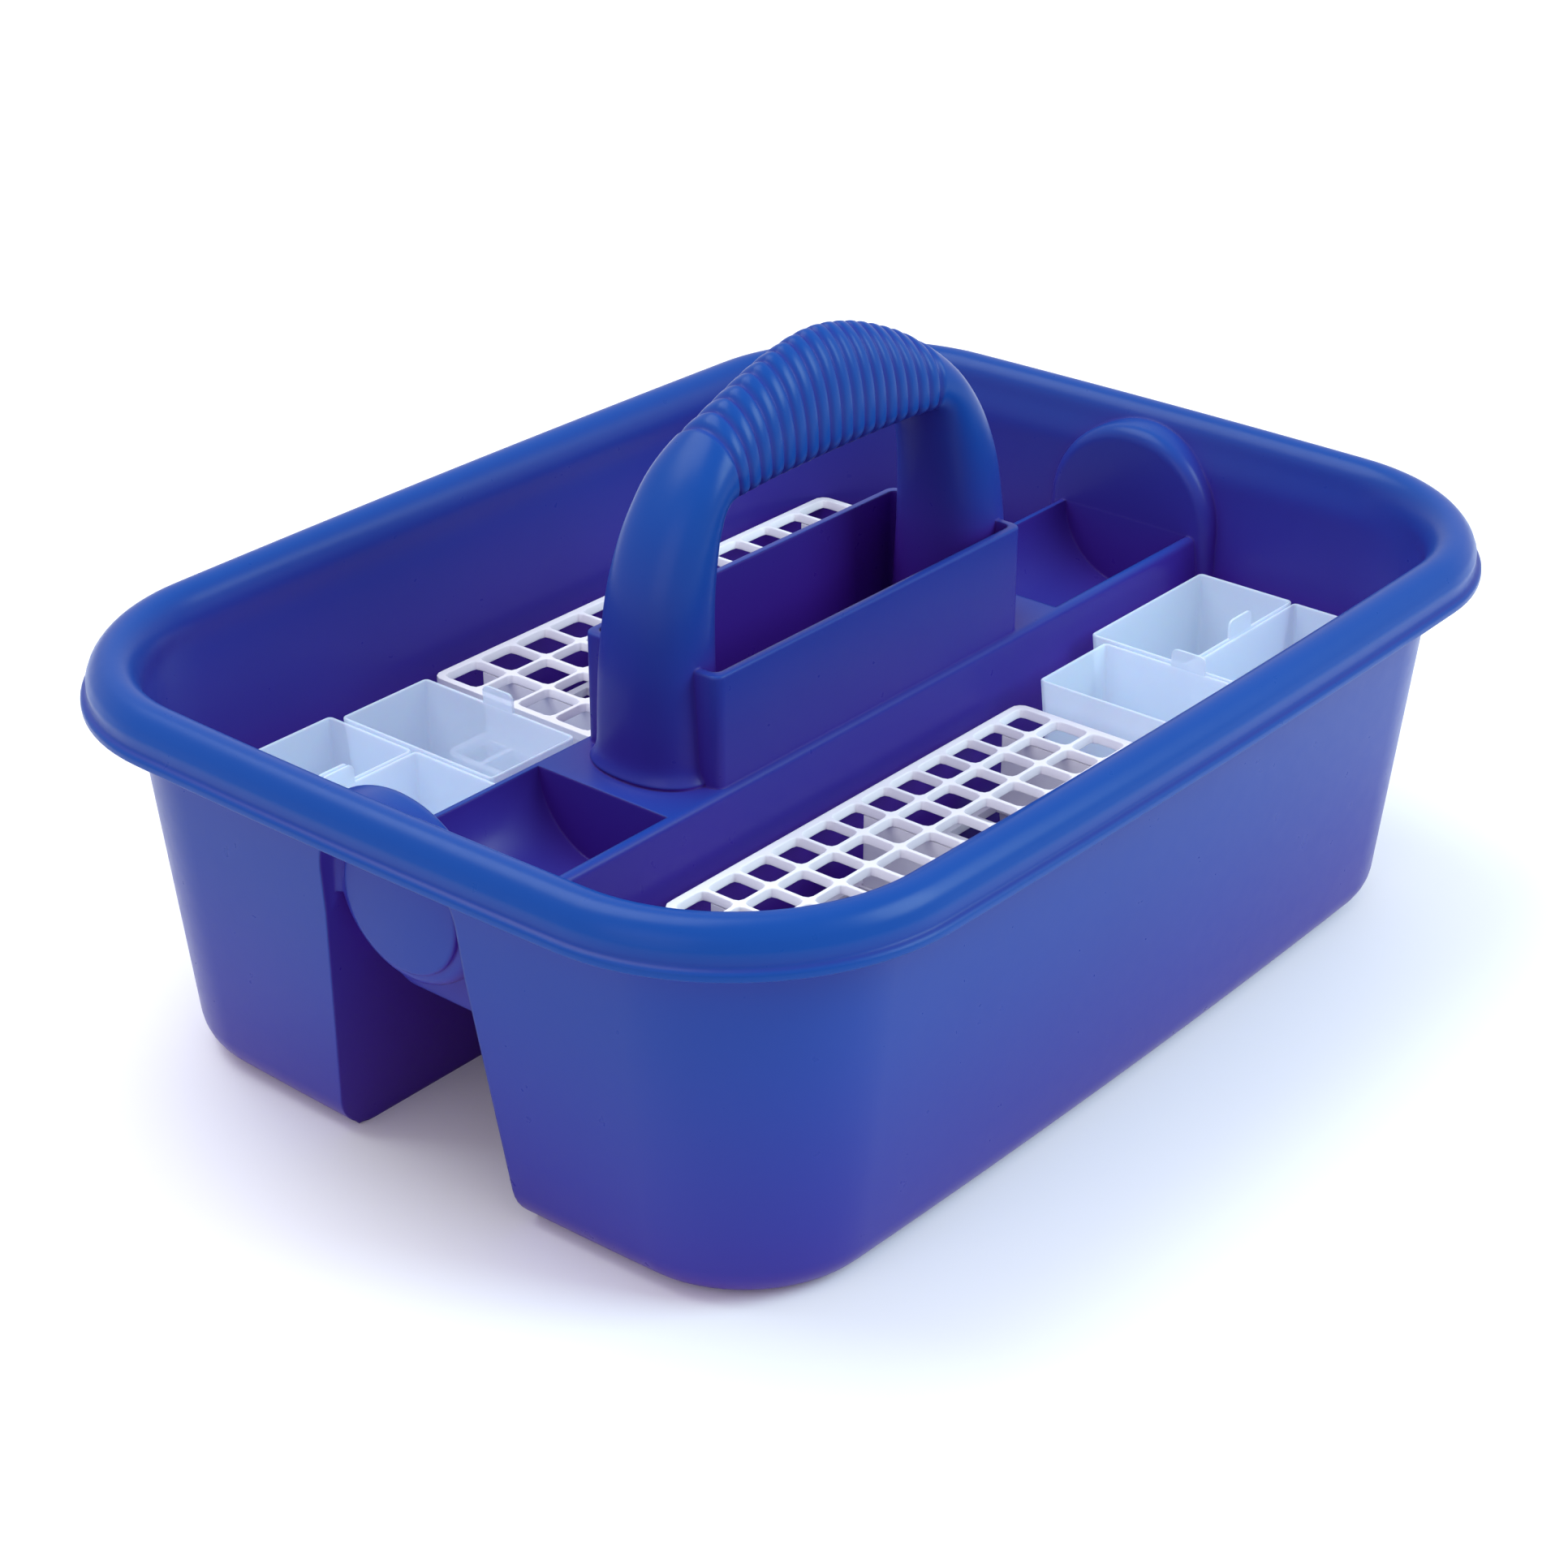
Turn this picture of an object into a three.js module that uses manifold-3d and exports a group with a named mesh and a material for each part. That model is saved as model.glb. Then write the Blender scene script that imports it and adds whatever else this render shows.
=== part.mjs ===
// Carry caddy: a one-piece moulded tub with a centre handle, two test-tube racks and six small bins.
// Millimetres, +Z up. X is the long way of the tub, Y its width. The origin is on the surface that the
// two feet stand on, under the middle of the tub.
import * as THREE from 'three';
import { mergeVertices } from 'three/addons/utils/BufferGeometryUtils.js';
import Module from 'manifold-3d';

const wasm = await Module();
wasm.setup();

// ---------------------------------------------------------------- tub: outline and walls
const TUB_LENGTH = 467;          // over the lip, along X
const TUB_WIDTH = 356;           // over the lip, along Y
const SIDE_BOW = 3.9;            // how far each side swells past its corners
const LIP_CORNER = 82;           // corner radius of the lip, in plan
const LIP_Z = 137.5;             // underside of the lip
const CROWN_Z = 154;             // top of the rim bead
const CROWN_INSET = 11;          // lip edge to the crown of the bead
const WALL = 3.2;                // wall thickness
const FLOOR = 4;                 // floor thickness of the two compartments
const RIM_REACH_X = 33.5;        // lip edge out from the foot of the walls, at each end
const RIM_REACH_Y = 30.5;        // and at each long side
const BASE_LENGTH = TUB_LENGTH - 2 * RIM_REACH_X; // outside of the walls at the ground, along X
const BASE_WIDTH = TUB_WIDTH - 2 * RIM_REACH_Y;   // outside of the walls at the ground, along Y
const BASE_CORNER = 47;          // corner radius of the walls at the ground
const WALL_LEAN = 0.1;           // the walls lean out this much per mm of height
const BASE_ROUND = 14;           // outside rounding where the walls meet the underside
const FLOOR_ROUND = 6;           // inside rounding where the walls meet the floor

// ---------------------------------------------------------------- tub: island between the compartments
const ISLAND_TOP = 111;          // top of the tray walls
const ISLAND_HALF_TOP = 33;      // half width of the island at its top
const ISLAND_LEAN = 0.108;       // the island's sides lean out this much per mm downwards
const TRAY_RADIUS = 29.5;        // trough of each end tray
const TRAY_INNER = 111;          // inner end of each tray, from the middle
const BOSS_SET_IN = 32.5;        // face of the round boss that closes each tray, in from the lip's edge
const TRAY_OUTER = TUB_LENGTH / 2 - BOSS_SET_IN;
const PAD_RADIUS = 25.5;         // raised disc outside, on the back of each boss
const PAD_RISE = 2.2;
const WEB_SET_IN = 14;           // cross web under each tray, in from the boss's face
const WEB_THICKNESS = 2.8;
const WEB_BOTTOM = 64;
const BOSS_RADIUS = 39;          // round boss on each end wall
const BOX_HALF_LENGTH = 86;      // centre box, outside
const BOX_HALF_WIDTH = 30.5;
const BOX_TOP = 153;
const POCKET_FLOOR = 80;         // inside floor of the centre box

// ---------------------------------------------------------------- handle
const HANDLE_TOP = 246;
const GRIP_BOTTOM = 201;
const GRIP_HALF_WIDTH = 15;
const LEG_OUTER = 99.5;          // outermost face of each leg, from the middle
const LEG_INNER = 65;            // innermost face of each leg
const LEG_HALF_WIDTH = 20.5;

// ---------------------------------------------------------------- racks
const RACK_TOP = 90;             // top face of the upper grid
const GRID_DEPTH = 3.4;
const TIER_GAP = 31.5;           // top of the upper grid to top of the lower grid
const BAR = 2.3;                 // width of the bars between the cells
const RIM_BAR = 3.4;             // width of each grid's border
const ROWS = 12;                 // cells along X
const NEAR_PITCH = 16.3;
const NEAR_COLUMNS = 6;
const NEAR_BIN_GAP = 2.1;        // near rack to the cross bin beside it
const NEAR_ISLAND_GAP = 7.7;     // near rack to the island, at the rack's top
const FAR_PITCH = 19.1;
const FAR_COLUMNS = 5;
const FAR_END_GAP = 24.9;        // far rack to the end wall, under its top grid
const FAR_WALL_GAP = 11.3;       // far rack to the long wall, under its top grid
const SUPPORT_THICKNESS = 2.2;
const SUPPORT_BARS = [1, 6, 11]; // cross-bars that carry a support plate
const SLOT_CLEAR = 0.35;         // gap round a support where it passes the lower grid
const TOUCH = 0.3;               // gap between faces that rest on each other
const UPPER_CORNER = 4.5;        // corner radius of the upper grid
const LOWER_CORNER = 7;          // corner radius of the lower grid
const LOWER_INSET = 3.4;         // the lower grid is this much narrower on each long side

// ---------------------------------------------------------------- bins
const BIN_LENGTH = 76;
const BIN_WIDTH = 43;
const BIN_TOP = 101;
const BIN_WALL = 1.2;
const BIN_FLOOR = 1.6;
const BIN_CORNER = 6.2;
const BIN_TAPER = 5.6;           // each side draws in this much from top to bottom
const TAB_WIDTH = 15;
const TAB_RISE = 7;
const TAB_THICKNESS = 1.2;
const END_GAP_NEAR = 3.3;        // bins to the end wall, near and far compartment
const END_GAP_FAR = 4.8;
const OUTER_SHIFT_NEAR = 0.9;    // the outer bins lie this much nearer the middle or the end
const OUTER_SHIFT_FAR = 0.4;
const CROSS_GAP_NEAR = 2.4;      // end of the long bins to the cross bin
const CROSS_GAP_FAR = 1.3;
const ROW_GAP = 0.9;             // between the inner and outer bins
const NEAR_WALL_GAP = 15.8;      // outer bins to the long wall at the floor
const FAR_WALL_BIN_GAP = 15.4;

// ================================================================ helpers

// Takes a three.js geometry down to shared positions and drops triangles that have no area.
function closedMesh(geometry) {
  const bare = geometry.clone();
  bare.deleteAttribute('normal');
  bare.deleteAttribute('uv');
  const merged = mergeVertices(bare, 1e-4);
  const index = merged.index.array;
  const kept = [];
  for (let i = 0; i < index.length; i += 3) {
    const [a, b, c] = [index[i], index[i + 1], index[i + 2]];
    if (a !== b && b !== c && c !== a) kept.push(a, b, c);
  }
  merged.setIndex(kept);
  return merged;
}

function toSolid(geometry) {
  const merged = closedMesh(geometry);
  return new wasm.Manifold(new wasm.Mesh({
    numProp: 3,
    vertProperties: Float32Array.from(merged.attributes.position.array),
    triVerts: Uint32Array.from(merged.index.array),
  }));
}

function toGeometry(solid) {
  const mesh = solid.getMesh();
  const geometry = new THREE.BufferGeometry();
  const positions = new Float32Array(mesh.numVert * 3);
  for (let i = 0; i < mesh.numVert; i += 1) {
    for (let k = 0; k < 3; k += 1) positions[3 * i + k] = mesh.vertProperties[mesh.numProp * i + k];
  }
  geometry.setAttribute('position', new THREE.BufferAttribute(positions, 3));
  geometry.setIndex(Array.from(mesh.triVerts));
  geometry.computeVertexNormals();
  return geometry;
}

// A closed surface through a stack of rings. Each ring is a function of 0..1 round it that gives
// [x, y, z]; the first and last rings are single points.
function loft(rings, count) {
  const profile = rings.map((ring, j) => new THREE.Vector2(1 + j, j));
  const geometry = new THREE.LatheGeometry(profile, count);
  const position = geometry.attributes.position;
  for (let i = 0; i <= count; i += 1) {
    for (let j = 0; j < rings.length; j += 1) {
      const [x, y, z] = rings[j](i % count);
      position.setXYZ(i * rings.length + j, x, y, z);
    }
  }
  return geometry;
}

// How finely a rounded rectangle is divided: steps round each corner and points along each side.
const TUB_STEPS = { corner: 6, side: 2 };
const BIN_STEPS = { corner: 3, side: 0 };
const around = (steps) => 4 * (steps.corner + 1 + steps.side);

// A rounded rectangle with bowed sides: half sizes a and b, corner radius r, at height z.
function outline(a, b, r, z, bow = SIDE_BOW, steps = TUB_STEPS) {
  const perQuarter = around(steps) / 4;
  return (i) => {
    const quarter = Math.floor(i / perQuarter);
    const step = i % perQuarter;
    const start = quarter * Math.PI / 2;
    const signX = [1, -1, -1, 1][quarter];
    const signY = [1, 1, -1, -1][quarter];
    const corner = (sx, sy, angle) => [
      sx * (a - r) + r * Math.cos(angle),
      sy * (b - r) + r * Math.sin(angle),
    ];
    let [x, y] = corner(signX, signY, start + Math.min(step / steps.corner, 1) * Math.PI / 2);
    if (step > steps.corner) {
      const t = (step - steps.corner) / (steps.side + 1);
      const next = (quarter + 1) % 4;
      const [nx, ny] = corner([1, -1, -1, 1][next], [1, 1, -1, -1][next], start + Math.PI / 2);
      x += t * (nx - x);
      y += t * (ny - y);
    }
    const bowedX = x * (1 - bow / a * (y / b) ** 2);
    const bowedY = y * (1 - bow / b * (x / a) ** 2);
    return [bowedX, bowedY, z];
  };
}

function point(x, y, z) {
  return () => [x, y, z];
}

// Rings of the rim, by how far they lie inside the lip's edge.
function rimRing(inset, z) {
  return outline(TUB_LENGTH / 2 - inset, TUB_WIDTH / 2 - inset, LIP_CORNER - inset, z);
}

// Rings of the walls: inset is 0 outside and WALL inside.
function wallRing(inset, z) {
  const lean = WALL_LEAN * z;
  return outline(BASE_LENGTH / 2 + lean - inset, BASE_WIDTH / 2 + lean - inset,
    BASE_CORNER + lean - inset, z);
}

function prismAlongX(shape, x0, x1) {
  const geometry = new THREE.ExtrudeGeometry(shape, { depth: x1 - x0, bevelEnabled: false, curveSegments: 10 });
  // shape x is the object's Y, shape y is its Z, and the depth runs along +X
  geometry.applyMatrix4(new THREE.Matrix4().set(0, 0, 1, x0, 1, 0, 0, 0, 0, 1, 0, 0, 0, 0, 0, 1));
  return geometry;
}

function boxSolid(x0, x1, y0, y1, z0, z1) {
  const geometry = new THREE.BoxGeometry(x1 - x0, y1 - y0, z1 - z0);
  geometry.translate((x0 + x1) / 2, (y0 + y1) / 2, (z0 + z1) / 2);
  return toSolid(geometry);
}

function cylinderAlongX(radius, x0, x1, z, segments = 40) {
  const geometry = new THREE.CylinderGeometry(radius, radius, x1 - x0, segments);
  geometry.rotateZ(Math.PI / 2);
  geometry.translate((x0 + x1) / 2, 0, z);
  return toSolid(geometry);
}

function roundedRectShape(x0, x1, y0, y1, r, Kind = THREE.Shape) {
  const shape = new Kind();
  shape.moveTo(x0 + r, y0);
  shape.lineTo(x1 - r, y0);
  shape.absarc(x1 - r, y0 + r, r, -Math.PI / 2, 0, false);
  shape.lineTo(x1, y1 - r);
  shape.absarc(x1 - r, y1 - r, r, 0, Math.PI / 2, false);
  shape.lineTo(x0 + r, y1);
  shape.absarc(x0 + r, y1 - r, r, Math.PI / 2, Math.PI, false);
  shape.lineTo(x0, y0 + r);
  shape.absarc(x0 + r, y0 + r, r, Math.PI, 1.5 * Math.PI, false);
  return shape;
}

// ================================================================ tub
// Half width of the island's side face at height z, on the compartments' side.
const islandHalf = (z) => ISLAND_HALF_TOP + ISLAND_LEAN * (ISLAND_TOP - z);

// The shell: underside, outside wall, the rim turned over into a hollow bead, inside wall, floor.
const shellRings = [point(0, 0, 0)];
for (let k = 0; k <= 3; k += 1) {
  const t = k / 3 * Math.PI / 2;
  const z = BASE_ROUND * (1 - Math.cos(t));
  shellRings.push(wallRing(BASE_ROUND * (1 - Math.sin(t)), z));
}
shellRings.push(
  wallRing(0, 75),
  wallRing(0, LIP_Z + 2),
  rimRing(15.5, CROWN_Z - 7),
  rimRing(10.5, CROWN_Z - WALL - 0.4),
  rimRing(5, CROWN_Z - 8),
  rimRing(3.2, LIP_Z),
  rimRing(0, LIP_Z),
  rimRing(0, LIP_Z + 2.2),
  rimRing(2.2, LIP_Z + 3.8),
  rimRing(2.2, LIP_Z + 7.5),
  rimRing(4, CROWN_Z - 4.5),
  rimRing(7.2, CROWN_Z - 1.1),
  rimRing(CROWN_INSET, CROWN_Z),
  rimRing(15, CROWN_Z - 1.2),
  rimRing(18.4, CROWN_Z - 4.8),
  rimRing(20.6, CROWN_Z - 11),
  wallRing(WALL, CROWN_Z - 20),
  wallRing(WALL, 75),
);
for (let k = 0; k <= 2; k += 1) {
  const t = k / 2 * Math.PI / 2;
  const z = FLOOR + FLOOR_ROUND * (1 - Math.sin(t));
  shellRings.push(wallRing(WALL + FLOOR_ROUND * (1 - Math.cos(t)), z));
}
shellRings.push(point(0, 0, FLOOR));
const shell = toSolid(loft(shellRings, around(TUB_STEPS)));

// Everything inside the tub's outer face, to trim the island and bosses that run into the end walls.
const envelope = toSolid(loft([
  point(0, 0, 1),
  wallRing(BASE_ROUND * 0.55, 1),
  wallRing(BASE_ROUND * 0.12, 8),
  wallRing(0.6, BASE_ROUND + 2),
  wallRing(0.6, LIP_Z),
  rimRing(11, LIP_Z + 0.5),
  rimRing(12, CROWN_Z - 5),
  point(0, 0, CROWN_Z - 5),
], around(TUB_STEPS)));

const islandShape = new THREE.Shape();
islandShape.moveTo(-islandHalf(0), 0);
islandShape.lineTo(islandHalf(0), 0);
islandShape.lineTo(ISLAND_HALF_TOP + 0.3, ISLAND_TOP - 2.6);
islandShape.quadraticCurveTo(ISLAND_HALF_TOP, ISLAND_TOP, ISLAND_HALF_TOP - 2, ISLAND_TOP);
islandShape.lineTo(2 - ISLAND_HALF_TOP, ISLAND_TOP);
islandShape.quadraticCurveTo(-ISLAND_HALF_TOP, ISLAND_TOP, -ISLAND_HALF_TOP - 0.3, ISLAND_TOP - 2.6);
islandShape.closePath();
const islandLength = TUB_LENGTH / 2;
const island = toSolid(prismAlongX(islandShape, -islandLength, islandLength));

// The box stands on the island; its long sides run on down as the island's sides do.
const boxShape = roundedRectShape(-BOX_HALF_LENGTH, BOX_HALF_LENGTH, -BOX_HALF_WIDTH, BOX_HALF_WIDTH, 3.5);
const boxGeometry = new THREE.ExtrudeGeometry(boxShape,
  { depth: BOX_TOP - ISLAND_TOP + 6, bevelEnabled: false, curveSegments: 4 });
boxGeometry.translate(0, 0, ISLAND_TOP - 6);
const centreBox = toSolid(boxGeometry);

// A boss with a round top and straight sides stands in from each end wall and closes the tray.
function bossShape(radius, bottomZ) {
  const shape = new THREE.Shape();
  shape.moveTo(-radius - 4, bottomZ);
  shape.lineTo(radius + 4, bottomZ);
  shape.lineTo(radius, ISLAND_TOP - 1);
  shape.absarc(0, ISLAND_TOP - 1, radius, 0, Math.PI, false);
  shape.closePath();
  return shape;
}

let tub = shell.add(island.intersect(envelope)).add(centreBox);
for (const side of [-1, 1]) {
  // the rounded edge of the boss is cut as three shallow steps
  let boss = null;
  for (const [draw, back] of [[0, 5], [1.9, 2.2], [5.2, 0]]) {
    const face = TRAY_OUTER + back;
    const layer = toSolid(prismAlongX(bossShape(BOSS_RADIUS - draw, 30), face, TUB_LENGTH / 2));
    boss = boss ? boss.add(layer) : layer;
  }
  tub = tub.add((side > 0 ? boss : boss.mirror([1, 0, 0])).intersect(envelope));
}

// Tunnel between the feet, right through from end to end.
const TUNNEL_ROOF = POCKET_FLOOR - WALL;
const tunnelHalf = (z) => islandHalf(z) - WALL;
const tunnelShape = new THREE.Shape();
tunnelShape.moveTo(-tunnelHalf(-2), -2);
tunnelShape.lineTo(tunnelHalf(-2), -2);
tunnelShape.lineTo(tunnelHalf(TUNNEL_ROOF - 4), TUNNEL_ROOF - 4);
tunnelShape.lineTo(tunnelHalf(TUNNEL_ROOF) - 4, TUNNEL_ROOF);
tunnelShape.lineTo(4 - tunnelHalf(TUNNEL_ROOF), TUNNEL_ROOF);
tunnelShape.lineTo(-tunnelHalf(TUNNEL_ROOF - 4), TUNNEL_ROOF - 4);
tunnelShape.closePath();
tub = tub.subtract(toSolid(prismAlongX(tunnelShape, -300, 300)));

// Hollow under each tray, round the trough, and the trough itself.
const hollowShape = new THREE.Shape();
hollowShape.moveTo(-tunnelHalf(TUNNEL_ROOF - 6), TUNNEL_ROOF - 6);
hollowShape.lineTo(tunnelHalf(TUNNEL_ROOF - 6), TUNNEL_ROOF - 6);
hollowShape.lineTo(tunnelHalf(102), 102);
hollowShape.lineTo(-tunnelHalf(102), 102);
hollowShape.closePath();
// A cross web closes the hollow under the tray, its lower corners cut off.
const webShape = new THREE.Shape();
webShape.moveTo(-18, WEB_BOTTOM);
webShape.lineTo(18, WEB_BOTTOM);
webShape.lineTo(tunnelHalf(WEB_BOTTOM + 8) + 0.8, WEB_BOTTOM + 8);
webShape.lineTo(tunnelHalf(103) + 0.8, 103);
webShape.lineTo(-tunnelHalf(103) - 0.8, 103);
webShape.lineTo(-tunnelHalf(WEB_BOTTOM + 8) - 0.8, WEB_BOTTOM + 8);
webShape.closePath();
for (const side of [-1, 1]) {
  const flip = (solid) => (side > 0 ? solid : solid.mirror([1, 0, 0]));
  const hollow = toSolid(prismAlongX(hollowShape, TRAY_INNER + WALL, TUB_LENGTH / 2 + 12));
  const troughWall = cylinderAlongX(TRAY_RADIUS + WALL, TRAY_INNER - 5, TRAY_OUTER + WALL, ISLAND_TOP);
  tub = tub.subtract(flip(hollow.subtract(troughWall)));
  const webX = TRAY_OUTER - WEB_SET_IN;
  tub = tub.add(flip(toSolid(prismAlongX(webShape, webX - WEB_THICKNESS, webX))));
  tub = tub.subtract(flip(cylinderAlongX(TRAY_RADIUS, TRAY_INNER, TRAY_OUTER, ISLAND_TOP)));
  // the end wall is dished from outside behind the boss, up into the hollow of the rim
  const dishShape = new THREE.Shape();
  dishShape.moveTo(-tunnelHalf(30), 30);
  dishShape.lineTo(tunnelHalf(30), 30);
  dishShape.lineTo(BOSS_RADIUS - WALL - 3, ISLAND_TOP - 1);
  dishShape.absarc(0, ISLAND_TOP - 1, BOSS_RADIUS - WALL - 3, 0, Math.PI, false);
  dishShape.closePath();
  const dish = toSolid(prismAlongX(dishShape, TRAY_OUTER + WALL, TUB_LENGTH / 2 + 10));
  const below = boxSolid(TRAY_OUTER, TUB_LENGTH / 2 + 20, -60, 60, 20, LIP_Z - 0.2);
  const behind = boxSolid(TRAY_OUTER, TUB_LENGTH / 2 - 13, -60, 60, LIP_Z - 1, CROWN_Z);
  tub = tub.subtract(flip(dish.intersect(below.add(behind))));
  tub = tub.add(flip(cylinderAlongX(PAD_RADIUS, TRAY_OUTER + 1, TRAY_OUTER + WALL + PAD_RISE, ISLAND_TOP - 2)));
}

// Pocket of the centre box.
const pocketShape = roundedRectShape(WALL - BOX_HALF_LENGTH, BOX_HALF_LENGTH - WALL,
  WALL - BOX_HALF_WIDTH, BOX_HALF_WIDTH - WALL, 2.5);
const pocketGeometry = new THREE.ExtrudeGeometry(pocketShape,
  { depth: BOX_TOP - POCKET_FLOOR + 10, bevelEnabled: false, curveSegments: 4 });
pocketGeometry.translate(0, 0, POCKET_FLOOR);
tub = tub.subtract(toSolid(pocketGeometry));

// ================================================================ handle, part of the tub's moulding
// Stations of the right half from the foot of the leg to the middle of the grip:
// inner point [x, z], outer point [x, z], half width across Y.
const FOOT_Z = POCKET_FLOOR - 1;
const rightHalf = [
  [[LEG_INNER, FOOT_Z], [LEG_OUTER - 6, FOOT_Z], LEG_HALF_WIDTH + 2],
  [[LEG_INNER, ISLAND_TOP - 0.6], [LEG_OUTER + 4.2, ISLAND_TOP - 0.6], LEG_HALF_WIDTH + 4.5],
  [[LEG_INNER, ISLAND_TOP + 2], [LEG_OUTER + 1.2, ISLAND_TOP + 2], LEG_HALF_WIDTH + 2.4],
  [[LEG_INNER, ISLAND_TOP + 6.5], [LEG_OUTER, ISLAND_TOP + 6.5], LEG_HALF_WIDTH + 1.6],
  [[LEG_INNER, 150], [LEG_OUTER - 0.8, 152], LEG_HALF_WIDTH],
  [[LEG_INNER - 0.8, 172], [LEG_OUTER - 4.6, 174], LEG_HALF_WIDTH - 1.2],
  [[LEG_INNER - 3.4, 188], [LEG_OUTER - 10.5, 190], LEG_HALF_WIDTH - 2.4],
  [[LEG_INNER - 5.6, 195], [LEG_OUTER - 18, 203], LEG_HALF_WIDTH - 3.4],
  [[LEG_INNER - 7.6, 199], [LEG_OUTER - 29, 216], LEG_HALF_WIDTH - 4.2],
  [[LEG_INNER - 11.5, GRIP_BOTTOM - 0.3], [LEG_OUTER - 43, 227], LEG_HALF_WIDTH - 4.9],
  [[40, GRIP_BOTTOM], [41, 235.2], GRIP_HALF_WIDTH],
  [[20, GRIP_BOTTOM], [20.5, 242.8], GRIP_HALF_WIDTH],
];
const middle = [[0, GRIP_BOTTOM], [0, HANDLE_TOP], GRIP_HALF_WIDTH];
const mirrored = rightHalf.map(([inner, outer, half]) => [[-inner[0], inner[1]], [-outer[0], outer[1]], half]);
const stations = [...rightHalf, middle, ...mirrored.reverse()];

// An oval between the inner and outer point, a little fuller than an ellipse.
function handleRing([inner, outer, half], steps) {
  return (i) => {
    const angle = i / steps * 2 * Math.PI;
    const full = (value) => Math.sign(value) * Math.abs(value) ** 0.88;
    const along = full(Math.cos(angle));
    const across = full(Math.sin(angle));
    const x = (inner[0] + outer[0]) / 2 + along * (outer[0] - inner[0]) / 2;
    const z = (inner[1] + outer[1]) / 2 + along * (outer[1] - inner[1]) / 2;
    return [x, across * half, z];
  };
}

const HANDLE_STEPS = 20;
function stationCentre([inner, outer]) {
  return point((inner[0] + outer[0]) / 2, 0, (inner[1] + outer[1]) / 2);
}
const handle = toSolid(loft([
  stationCentre(stations[0]),
  ...stations.map((station) => handleRing(station, HANDLE_STEPS)),
  stationCentre(stations[stations.length - 1]),
], HANDLE_STEPS));
tub = tub.add(handle);

// ================================================================ racks
// A flat grid of square cells lying from (0, 0): a border, bars both ways, and slots where the
// support plates pass through. inset narrows it on both long sides.
const gridLength = (pitch) => ROWS * pitch + 2 * RIM_BAR - BAR;
const gridWidth = (pitch, columns) => columns * pitch + 2 * RIM_BAR - BAR;
const barCentre = (pitch, bar) => RIM_BAR - BAR / 2 + bar * pitch;
function gridSolid(pitch, columns, inset, slots) {
  const length = gridLength(pitch);
  const width = gridWidth(pitch, columns);
  const shape = roundedRectShape(0, length, inset, width - inset, inset > 0 ? LOWER_CORNER : UPPER_CORNER);
  const plate = toSolid(new THREE.ExtrudeGeometry(shape,
    { depth: GRID_DEPTH, bevelEnabled: false, curveSegments: 3 }));
  const slotBar = SUPPORT_THICKNESS + 2 * SLOT_CLEAR + 2 * 1.4;
  const halfBar = (bar) => (slots && SUPPORT_BARS.includes(bar) ? slotBar : BAR) / 2;
  const cuts = [];
  for (let row = 0; row < ROWS; row += 1) {
    for (let column = 0; column < columns; column += 1) {
      const x0 = row === 0 ? RIM_BAR : barCentre(pitch, row) + halfBar(row);
      const x1 = row === ROWS - 1 ? length - RIM_BAR : barCentre(pitch, row + 1) - halfBar(row + 1);
      const y0 = column === 0 ? RIM_BAR + inset : barCentre(pitch, column) + BAR / 2;
      const y1 = column === columns - 1 ? width - RIM_BAR - inset : barCentre(pitch, column + 1) - BAR / 2;
      cuts.push(boxSolid(x0, x1, y0, y1, -1, GRID_DEPTH + 1));
    }
  }
  if (slots) {
    const half = SUPPORT_THICKNESS / 2 + SLOT_CLEAR;
    for (const bar of SUPPORT_BARS) {
      const x = barCentre(pitch, bar);
      cuts.push(boxSolid(x - half, x + half, slots[0] - SLOT_CLEAR, slots[1] + SLOT_CLEAR,
        -1, GRID_DEPTH + 1));
    }
  }
  const grid = plate.subtract(wasm.Manifold.union(cuts));
  return grid.asOriginal();
}

// A support plate in a YZ plane: wide under the upper grid, narrow at the floor, arched between its feet.
function supportGeometry(y0, y1, footInset0, footInset1, bottomZ, topZ) {
  const lowerTop = RACK_TOP - TIER_GAP;
  const shape = new THREE.Shape();
  shape.moveTo(y0 + footInset0, bottomZ);
  shape.lineTo(y0 + footInset0 + 12, bottomZ);
  shape.lineTo(y0 + footInset0 + 22, lowerTop - 18);
  shape.lineTo(y1 - footInset1 - 22, lowerTop - 18);
  shape.lineTo(y1 - footInset1 - 12, bottomZ);
  shape.lineTo(y1 - footInset1, bottomZ);
  shape.lineTo(y1 - 7, lowerTop - GRID_DEPTH - 2);
  shape.lineTo(y1 - 7, topZ);
  shape.lineTo(y0 + 7, topZ);
  shape.lineTo(y0 + 7, lowerTop - GRID_DEPTH - 2);
  shape.closePath();
  return prismAlongX(shape, -SUPPORT_THICKNESS / 2, SUPPORT_THICKNESS / 2);
}

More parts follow.
